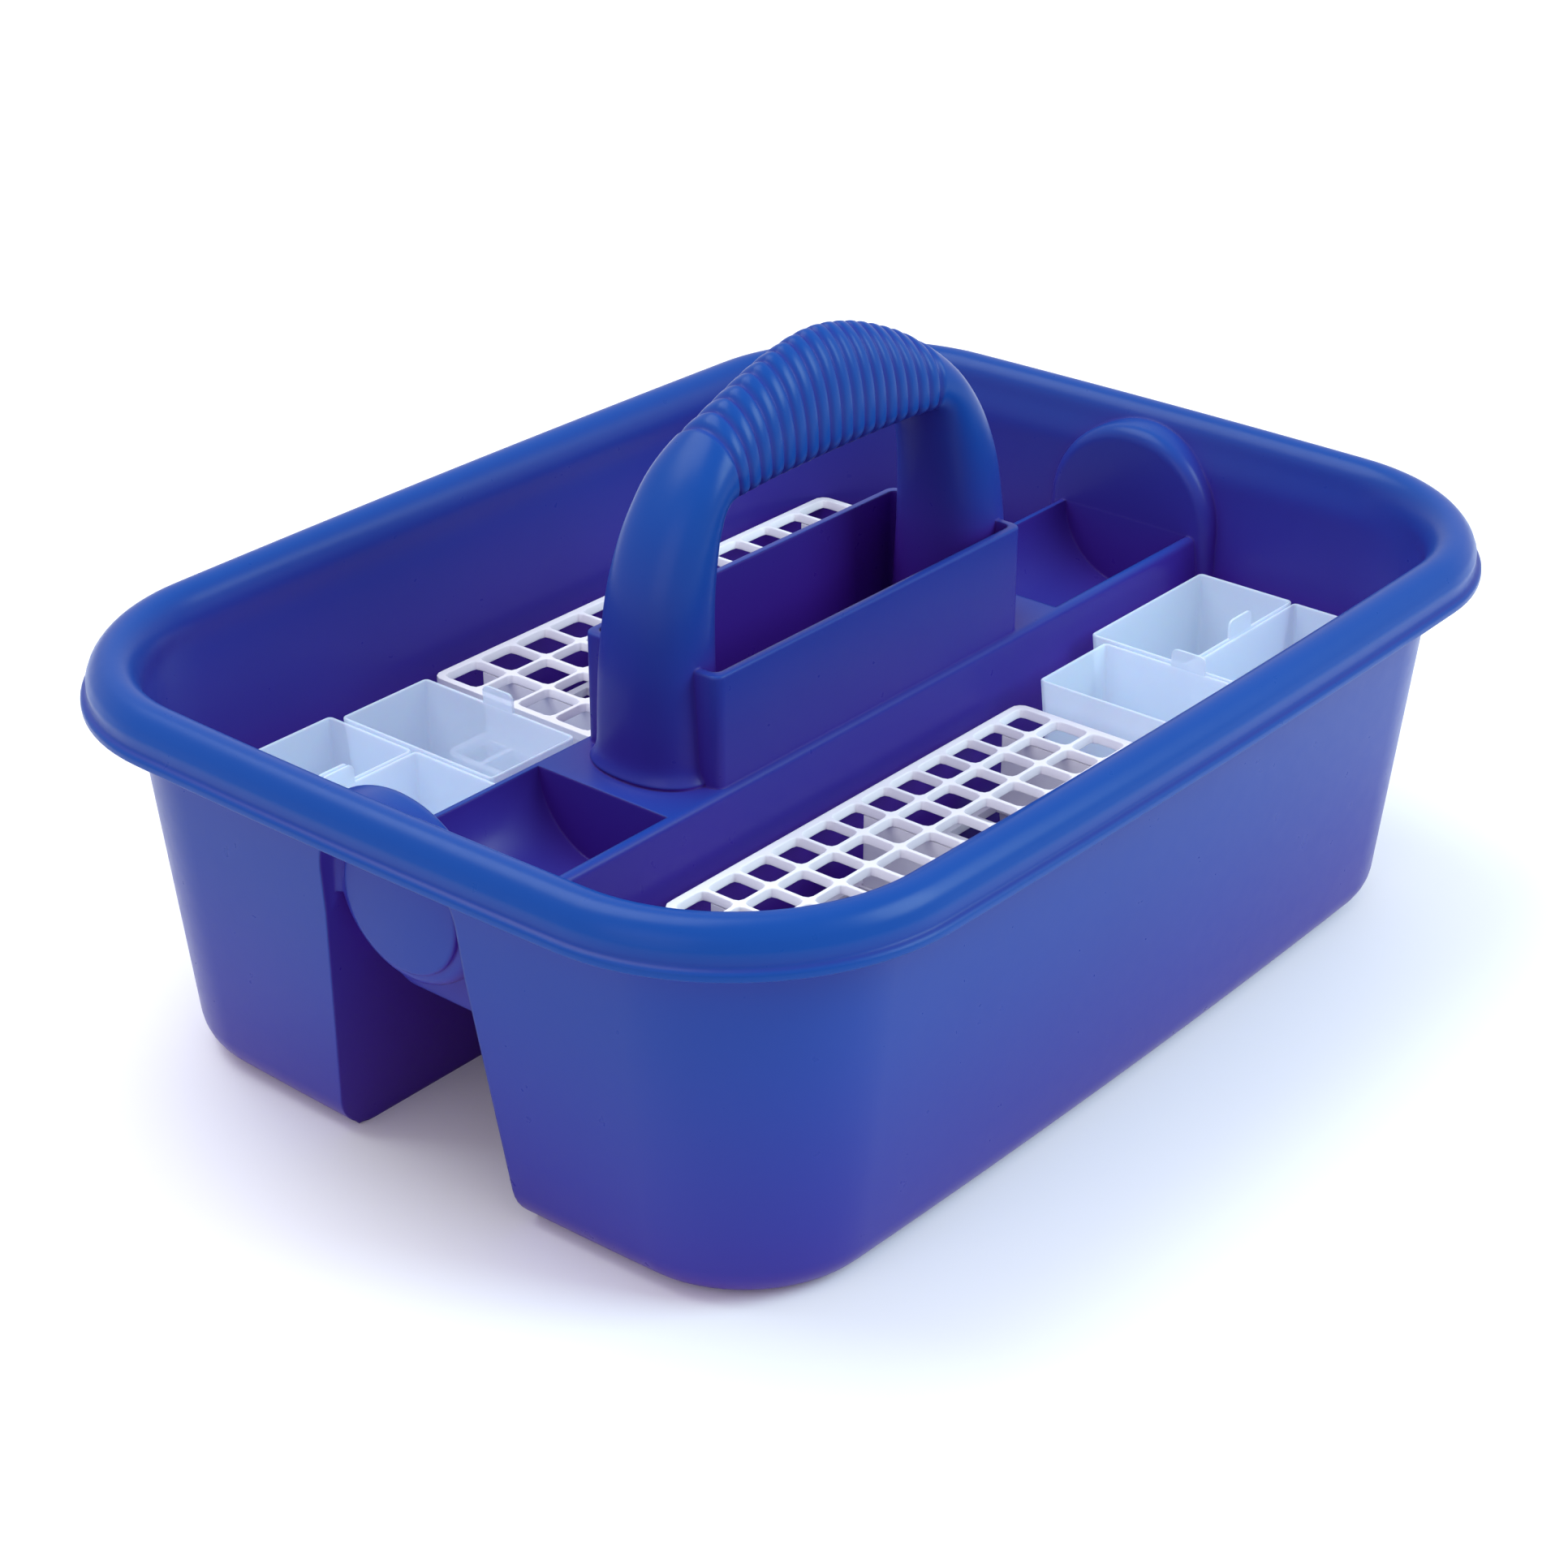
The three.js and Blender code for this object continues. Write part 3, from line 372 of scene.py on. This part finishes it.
def handle_rings():
    """Ovals between the inner and outer line, spaced along their middle line, closer over the ridges. An
    oval is (|cos|^p, |sin|^p); along the grip it turns into an egg, widest a fifth of the way up. It is
    drawn in at each groove by the ridge depth times a bell curve of the distance to the groove."""
    half = np.array(handle_stations)
    mirror = half[-2::-1] * np.array([-1, 1, -1, 1, 1])
    line = smooth_run(np.concatenate([half, mirror]), 60)
    middle = (line[:, 0:2] + line[:, 2:4]) / 2
    run = np.concatenate([[0], np.cumsum(np.linalg.norm(np.diff(middle, axis=0), axis=1))])
    ribbed = np.abs(middle[:, 0]) < grip_ribbed + 3
    first, last = run[ribbed][0], run[ribbed][-1]
    at = np.concatenate([np.arange(0, first, coarse_step), np.arange(first, last, fine_step),
                         np.arange(last, run[-1], coarse_step), [run[-1]]])
    line = np.column_stack([np.interp(at, run, column) for column in line.T])
    x = (line[:, 0] + line[:, 2]) / 2
    low, high = np.interp([-grip_ribbed, grip_ribbed], x[::-1], at[::-1])[::-1]
    phase = np.clip((at - low) / (high - low), 0, 1) * rib_count
    from_groove = np.abs(phase - np.round(phase))
    groove = np.exp(-(from_groove / groove_width) ** 2) + ridge_dip * (1 - np.sin(np.pi * (phase % 1.0)))
    inside = np.clip((grip_ribbed + 1.5 - np.abs(x)) / 1.5, 0, 1)
    depth = (rib_depth * groove * inside)[:, None]
    grip = np.clip((68 - np.abs(x)) / 20, 0, 1)[:, None]
    grip = grip * grip * (3 - 2 * grip)
    turn = np.linspace(0, 2 * np.pi, 84, endpoint=False)[None]
    along = np.sign(np.cos(turn)) * np.abs(np.cos(turn)) ** 0.88
    oval = np.abs(np.sin(turn)) ** 0.88
    above = np.clip((along + 0.56) / 1.56, 0, 1)
    below = np.clip((-0.56 - along) / 0.44, 0, 1)
    egg = np.where(along > -0.56, (1 - above ** 2.3) ** 0.62, (1 - below ** 2.4) ** 0.55)
    across = np.sign(np.sin(turn)) * (oval * (1 - grip) + np.clip(egg, 0, 1) * grip)
    reach = np.hypot(line[:, 2] - line[:, 0], line[:, 3] - line[:, 1])[:, None] / 2
    along = along * (1 - depth / reach)
    across = across * (line[:, 4:5] - depth)
    px = (line[:, 0:1] + line[:, 2:3]) / 2 + along * (line[:, 2:3] - line[:, 0:1]) / 2
    pz = (line[:, 1:2] + line[:, 3:4]) / 2 + along * (line[:, 3:4] - line[:, 1:2]) / 2
    return np.stack([px, across, pz], -1)


combine(tub, lofted("handle", handle_rings()), "UNION")
smoothed(tub)


def moulded_plastic(name, colour, roughness, grain, relief, edge_mm, gloss_level=0.5, painted_shade_colour=None, reach=0.06):
    """Moulded plastic: a body colour with a faint cloudy drift, with painted shade in its recesses (the body
    mixed towards the shade colour by the ambient occlusion within reach), a fine texture in its gloss, a low
    orange-peel relief, and edges rounded by edge_mm."""
    material = bpy.data.materials.new(name)
    material.use_nodes = True
    nodes, links = material.node_tree.nodes, material.node_tree.links
    shader = nodes["Principled BSDF"]
    place = nodes.new("ShaderNodeTexCoord")
    drift = nodes.new("ShaderNodeTexNoise")
    drift.inputs["Scale"].default_value = 9.0
    drift.inputs["Detail"].default_value = 3.0
    links.new(place.outputs["Object"], drift.inputs["Vector"])
    tint = nodes.new("ShaderNodeMix")
    tint.data_type = "RGBA"
    tint.inputs[6].default_value = (*[0.93 * v for v in colour], 1)
    tint.inputs[7].default_value = (*[min(1.0, 1.06 * v) for v in colour], 1)
    links.new(drift.outputs["Fac"], tint.inputs[0])
    body = tint.outputs[2]
    # painted shade: where ambient occlusion finds nearby surfaces, the body colour is mixed towards a violet
    # shade colour
    if painted_shade_colour is not None:
        painted_shade_mask = nodes.new("ShaderNodeAmbientOcclusion")
        painted_shade_mask.samples = 8
        painted_shade_mask.inputs["Distance"].default_value = reach
        painted_shade_mix = nodes.new("ShaderNodeMix")
        painted_shade_mix.data_type = "RGBA"
        painted_shade_mix.inputs[6].default_value = (*painted_shade_colour, 1)
        links.new(painted_shade_mask.outputs["AO"], painted_shade_mix.inputs[0])
        links.new(body, painted_shade_mix.inputs[7])
        body = painted_shade_mix.outputs[2]
    links.new(body, shader.inputs["Base Color"])
    fine = nodes.new("ShaderNodeTexNoise")
    fine.inputs["Scale"].default_value = grain
    fine.inputs["Detail"].default_value = 4.0
    links.new(place.outputs["Object"], fine.inputs["Vector"])
    gloss = nodes.new("ShaderNodeMapRange")
    gloss.inputs["To Min"].default_value = roughness - 0.05
    gloss.inputs["To Max"].default_value = roughness + 0.07
    links.new(fine.outputs["Fac"], gloss.inputs["Value"])
    links.new(gloss.outputs["Result"], shader.inputs["Roughness"])
    rounded = nodes.new("ShaderNodeBevel")
    rounded.samples = 6
    rounded.inputs["Radius"].default_value = edge_mm / 1000
    peel = nodes.new("ShaderNodeBump")
    peel.inputs["Strength"].default_value = relief
    peel.inputs["Distance"].default_value = 0.0006
    links.new(fine.outputs["Fac"], peel.inputs["Height"])
    links.new(rounded.outputs["Normal"], peel.inputs["Normal"])
    links.new(peel.outputs["Normal"], shader.inputs["Normal"])
    shader.inputs["IOR"].default_value = 1.49
    shader.inputs["Specular IOR Level"].default_value = gloss_level
    return material


# tub_blue carries painted shade: a violet colour mixed into its recesses by ambient occlusion
tub_blue = moulded_plastic("tub_blue", (0.001, 0.048, 0.262), 0.29, 160.0, 0.05, 1.5,
                           gloss_level=0.17, painted_shade_colour=(0.060, 0.006, 0.25), reach=0.15)
tub.data.materials.clear()
tub.data.materials.append(tub_blue)
tub.data.polygons.foreach_set("material_index", np.zeros(len(tub.data.polygons), np.int32))
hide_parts("tub")
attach(tub, "tub")

# ---------------------------------------------------------------- test-tube racks
# Each rack is a white polypropylene moulding in two flat grids: square cells with rounded corners,
# bars that widen downwards for the draft of the tool, held apart by cross plates on small feet.
rack_white = moulded_plastic("rack_white", (0.86, 0.86, 0.93), 0.40, 220.0, 0.04, 0.5)
row_count, grid_depth, bar, border = 12, 3.4, 2.3, 3.4
rack_sizes = {"near": (16.3, 6), "far": (19.1, 5)}
cell_steps, rack_corner = 6, 4.5
cell_radius, cell_draft, brim_width, brim_depth = 1.8, 0.25, 0.25, 0.3
upper_radius, brim_radius = 2.4, 2.6


def cell_ring(x0, x1, y0, y1, radius, count):
    """The outline of a square cell with rounded corners, count points to a side, starting mid-corner: a
    superposed square and circle, each point pulled onto the arc where it lies past the arc's centre."""
    t = np.arange(count) / count
    square = np.concatenate([np.stack([t, 0 * t], -1), np.stack([1 + 0 * t, t], -1),
                             np.stack([1 - t, 1 + 0 * t], -1), np.stack([0 * t, 1 - t], -1)])
    px = x0[..., None] + (x1 - x0)[..., None] * square[:, 0]
    py = y0[..., None] + (y1 - y0)[..., None] * square[:, 1]
    return pull_corners(px, py, x0[..., None], x1[..., None], y0[..., None], y1[..., None], radius)


def pull_corners(px, py, x0, x1, y0, y1, radius):
    """Points past a corner's arc centre in both directions are moved onto the arc, along the line to it."""
    cx, cy = np.clip(px, x0 + radius, x1 - radius), np.clip(py, y0 + radius, y1 - radius)
    dx, dy = px - cx, py - cy
    length = np.hypot(dx, dy)
    shrink = np.where(length > radius, radius / np.maximum(length, 1e-9), 1.0)
    return cx + dx * shrink, cy + dy * shrink


def rack_grid(name, origin, pitch, columns):
    """A plate of cells from its lower-left corner. Each cell is a tile: a ring on the tile's edge and a
    ring on the hole's edge, at the top and at the bottom, joined by quads; tiles share their edges."""
    x_line = np.concatenate([[0], border - bar / 2 + pitch * np.arange(1, row_count),
                             [row_count * pitch + 2 * border - bar]])
    y_line = np.concatenate([[0], border - bar / 2 + pitch * np.arange(1, columns),
                             [columns * pitch + 2 * border - bar]])
    half_x = np.full(row_count + 1, bar / 2)
    half_x[[0, -1]] = border
    half_y = np.full(columns + 1, bar / 2)
    half_y[[0, -1]] = border
    x0, y0 = np.meshgrid(x_line[:-1], y_line[:-1], indexing="ij")
    x1, y1 = np.meshgrid(x_line[1:], y_line[1:], indexing="ij")
    hx0, hy0 = np.meshgrid(half_x[:-1], half_y[:-1], indexing="ij")
    hx1, hy1 = np.meshgrid(half_x[1:], half_y[1:], indexing="ij")
    tiles = cell_ring(x0, x1, y0, y1, 0.0, cell_steps)
    tiles = pull_corners(*tiles, x_line[0], x_line[-1], y_line[0], y_line[-1], rack_corner)

    def hole(wider, radius):
        return cell_ring(x0 + hx0 - wider, x1 - hx1 + wider, y0 + hy0 - wider, y1 - hy1 + wider,
                         radius, cell_steps)

    lower, upper = hole(0.0, cell_radius), hole(cell_draft, upper_radius)
    brim = hole(cell_draft + brim_width, brim_radius)
    layers = [(tiles, 0.0), (lower, 0.0), (upper, grid_depth - brim_depth), (brim, grid_depth),
              (tiles, grid_depth)]
    stack = np.stack([np.stack([px, py, np.full(px.shape, z)], -1) for (px, py), z in layers], 2)
    cells = row_count * columns
    ring = 4 * cell_steps
    stack = stack.reshape(cells, len(layers), ring, 3) + np.array(origin)
    base = np.arange(cells)[:, None] * (len(layers) * ring)
    faces = (base + ring_faces(len(layers), ring).reshape(1, -1)).reshape(-1, 4)
    # the plate's own outer edge: the tile rings that lie on it, joined top to bottom
    i = np.arange(ring)
    on_side = i // cell_steps
    row, column = np.divmod(np.arange(cells), columns)
    outside = np.stack([column == 0, row == row_count - 1, column == columns - 1, row == 0], 1)[:, on_side]
    low = base + i
    low_next = base + (i + 1) % ring
    top = (len(layers) - 1) * ring
    skirt = np.stack([low_next, low, low + top, low_next + top], -1)[outside]
    piece = mesh_piece(name, stack, [faces, skirt])
    weld(piece)
    return smoothed(piece, 40)


def weld(piece, distance=2e-6):
    """Joins points that fall on each other and turns the faces outwards."""
    work = bmesh.new()
    work.from_mesh(piece.data)
    bmesh.ops.remove_doubles(work, verts=work.verts, dist=distance)
    bmesh.ops.recalc_face_normals(work, faces=work.faces)
    work.to_mesh(piece.data)
    work.free()


for rack, (pitch, columns) in rack_sizes.items():
    low_corner = np.array(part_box(f"{rack}_rack_upper_grid")[0]) * 1000
    upper = rack_grid(f"{rack}_rack_top", low_corner, pitch, columns)
    upper.data.materials.append(rack_white)
    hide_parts(f"{rack}_rack_upper_grid")
    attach(upper, f"{rack}_rack")
    for node in [f"{rack}_rack_lower_grid"] + [f"{rack}_rack_support_{k}" for k in (1, 2, 3)]:
        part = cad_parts[node]
        part.data.materials.clear()
        part.data.materials.append(rack_white)

# ---------------------------------------------------------------- bins
# The loose bins are thin, milky boxes that taper down, with rounded corners, a rolled edge and a finger
# tab standing up from one long wall. Each stands where the frame has it, turned by quarter turns.
bin_half, bin_base, bin_top = (38.0, 21.5), 4.3, 101.0
bin_wall, bin_floor, bin_taper = 1.2, 1.6, 5.6
bin_corner, corner_loss, least_corner = 4.4, 2.2, 1.0   # at the foot, lost by the top, smallest inside
foot_round, inner_round = 4.0, 3.0
tab_half, tab_rise, tab_sink, tab_corner = 7.5, 7.0, 10, 3.0
bin_turns = {"near_inner_bin": 0, "near_outer_bin": 0, "near_cross_bin": 1,
             "far_cross_bin": 1, "far_inner_bin": 2, "far_outer_bin": 0}


def milky_plastic(name, colour, alpha):
    """Milky plastic: a soft white body that lets some of what is behind it through, with a faint emission, a
    painted glow standing in for the light that thin walls scatter."""
    material = moulded_plastic(name, colour, 0.38, 130.0, 0.06, 0.6)
    shader = material.node_tree.nodes["Principled BSDF"]
    shader.inputs["Alpha"].default_value = alpha
    shader.inputs["Subsurface Weight"].default_value = 0.25
    shader.inputs["Subsurface Scale"].default_value = 0.004
    # painted glow: a faint bluish emission standing in for light scattered through the thin walls
    shader.inputs["Emission Color"].default_value = (0.62, 0.76, 1.0, 1)
    shader.inputs["Emission Strength"].default_value = 0.14
    return material


def bin_rings():
    """The bin's wall as a stack of rounded outlines: up the outside, over the edge, and down the inside."""
    height = bin_top - bin_base

    def rows(inset, z):
        inset, z = np.broadcast_arrays(np.asarray(inset, float), np.asarray(z, float))
        draw = inset + bin_taper * (1 - z / height)
        corner = np.maximum(bin_corner - corner_loss * z / height - inset, least_corner)
        return np.stack([bin_half[0] - draw, bin_half[1] - draw, corner, z], -1)

    turn = np.linspace(0, np.pi / 2, 6)
    half_turn = np.linspace(0, np.pi, 7)
    return rounded_outline(np.concatenate([
        rows(foot_round * (1 - np.sin(turn)), foot_round * (1 - np.cos(turn))),
        rows(0, np.linspace(20, height - 2, 6)),
        rows(bin_wall / 2 * (1 - np.cos(half_turn)), height - bin_wall / 2 + bin_wall / 2 * np.sin(half_turn)),
        rows(bin_wall, np.linspace(height - 2, 20, 6)),
        rows(bin_wall + inner_round * (1 - np.cos(turn)),
             bin_floor + inner_round * (1 - np.sin(turn)))]), 0.0, 8, 10)


bin_clear = milky_plastic("bin_clear", (0.74, 0.85, 1.0), 0.50)
for name, quarter_turns in bin_turns.items():
    x, y, _ = np.mean(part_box(name), axis=0)
    piece = lofted(name + "_shell", bin_rings())
    height = bin_top - bin_base
    tab_outline = rounded_polygon([(-tab_half, -tab_sink), (tab_half, -tab_sink), (tab_half, tab_rise),
                                   (-tab_half, tab_rise)], [0, 0, tab_corner, tab_corner])
    tab_points = np.stack([np.column_stack([tab_outline[:, 0], np.full(len(tab_outline), -bin_half[1] + d),
                                            tab_outline[:, 1] + height]) for d in (0.15, bin_wall - 0.1)])
    combine(piece, lofted("tab", tab_points), "UNION")
    points = np.empty(len(piece.data.vertices) * 3)
    piece.data.vertices.foreach_get("co", points)
    points = points.reshape(-1, 3)
    turn = quarter_turns * math.pi / 2
    turned = np.column_stack([points[:, 0] * math.cos(turn) - points[:, 1] * math.sin(turn) + x,
                              points[:, 0] * math.sin(turn) + points[:, 1] * math.cos(turn) + y,
                              points[:, 2] + bin_base / 1000])
    piece.data.vertices.foreach_set("co", turned.ravel())
    smoothed(piece, 40)
    piece.data.materials.clear()
    piece.data.materials.append(bin_clear)
    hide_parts(name)
    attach(piece, name)

# ---------------------------------------------------------------- table and light
# A plain pale table, a broad soft light from the upper right, a weaker one from the left, and an even sky.
table_grid = np.array([(-4000, -4000, 0), (4000, -4000, 0), (4000, 4000, 0), (-4000, 4000, 0)], float)
table = bpy.data.objects.new("table", bpy.data.meshes.new("table"))
table.data.from_pydata((table_grid / 1000).tolist(), [], [(0, 1, 2, 3)])
bpy.context.collection.objects.link(table)
table_white = bpy.data.materials.new("table_white")
table_white.use_nodes = True
table_shader = table_white.node_tree.nodes["Principled BSDF"]
table_shader.inputs["Base Color"].default_value = (0.92, 0.93, 0.96, 1)
table_shader.inputs["Roughness"].default_value = 0.7
table.data.materials.append(table_white)


def soft_light(name, place, target, size, watts, colour):
    """A square area light at a place, facing a target."""
    light = bpy.data.lights.new(name, "AREA")
    light.size, light.energy, light.color = size, watts, colour
    lamp = bpy.data.objects.new(name, light)
    aim = np.array(target, float) - np.array(place, float)
    lamp.location = place
    lamp.rotation_euler = (math.atan2(math.hypot(aim[0], aim[1]), -aim[2]), 0,
                           math.atan2(aim[0], -aim[1]) + math.pi)
    bpy.context.collection.objects.link(lamp)
    return lamp


soft_light("key", (0.9, -1.7, 1.5), (0, 0, 0.08), 1.2, 36, (0.72, 1.0, 0.98))
soft_light("top", (-0.3, 0.8, 2.0), (0, 0, 0.1), 1.5, 30, (0.9, 1.0, 1.0))
soft_light("left", (-1.9, -0.2, 1.0), (0, 0, 0.1), 1.2, 5, (1.0, 0.9, 1.0))
world = bpy.data.worlds.new("sky")
bpy.context.scene.world = world
world.use_nodes = True
world.node_tree.nodes["Background"].inputs["Color"].default_value = (1.0, 0.93, 1.0, 1)
world.node_tree.nodes["Background"].inputs["Strength"].default_value = 0.85
bpy.context.scene.view_settings.view_transform = "Standard"
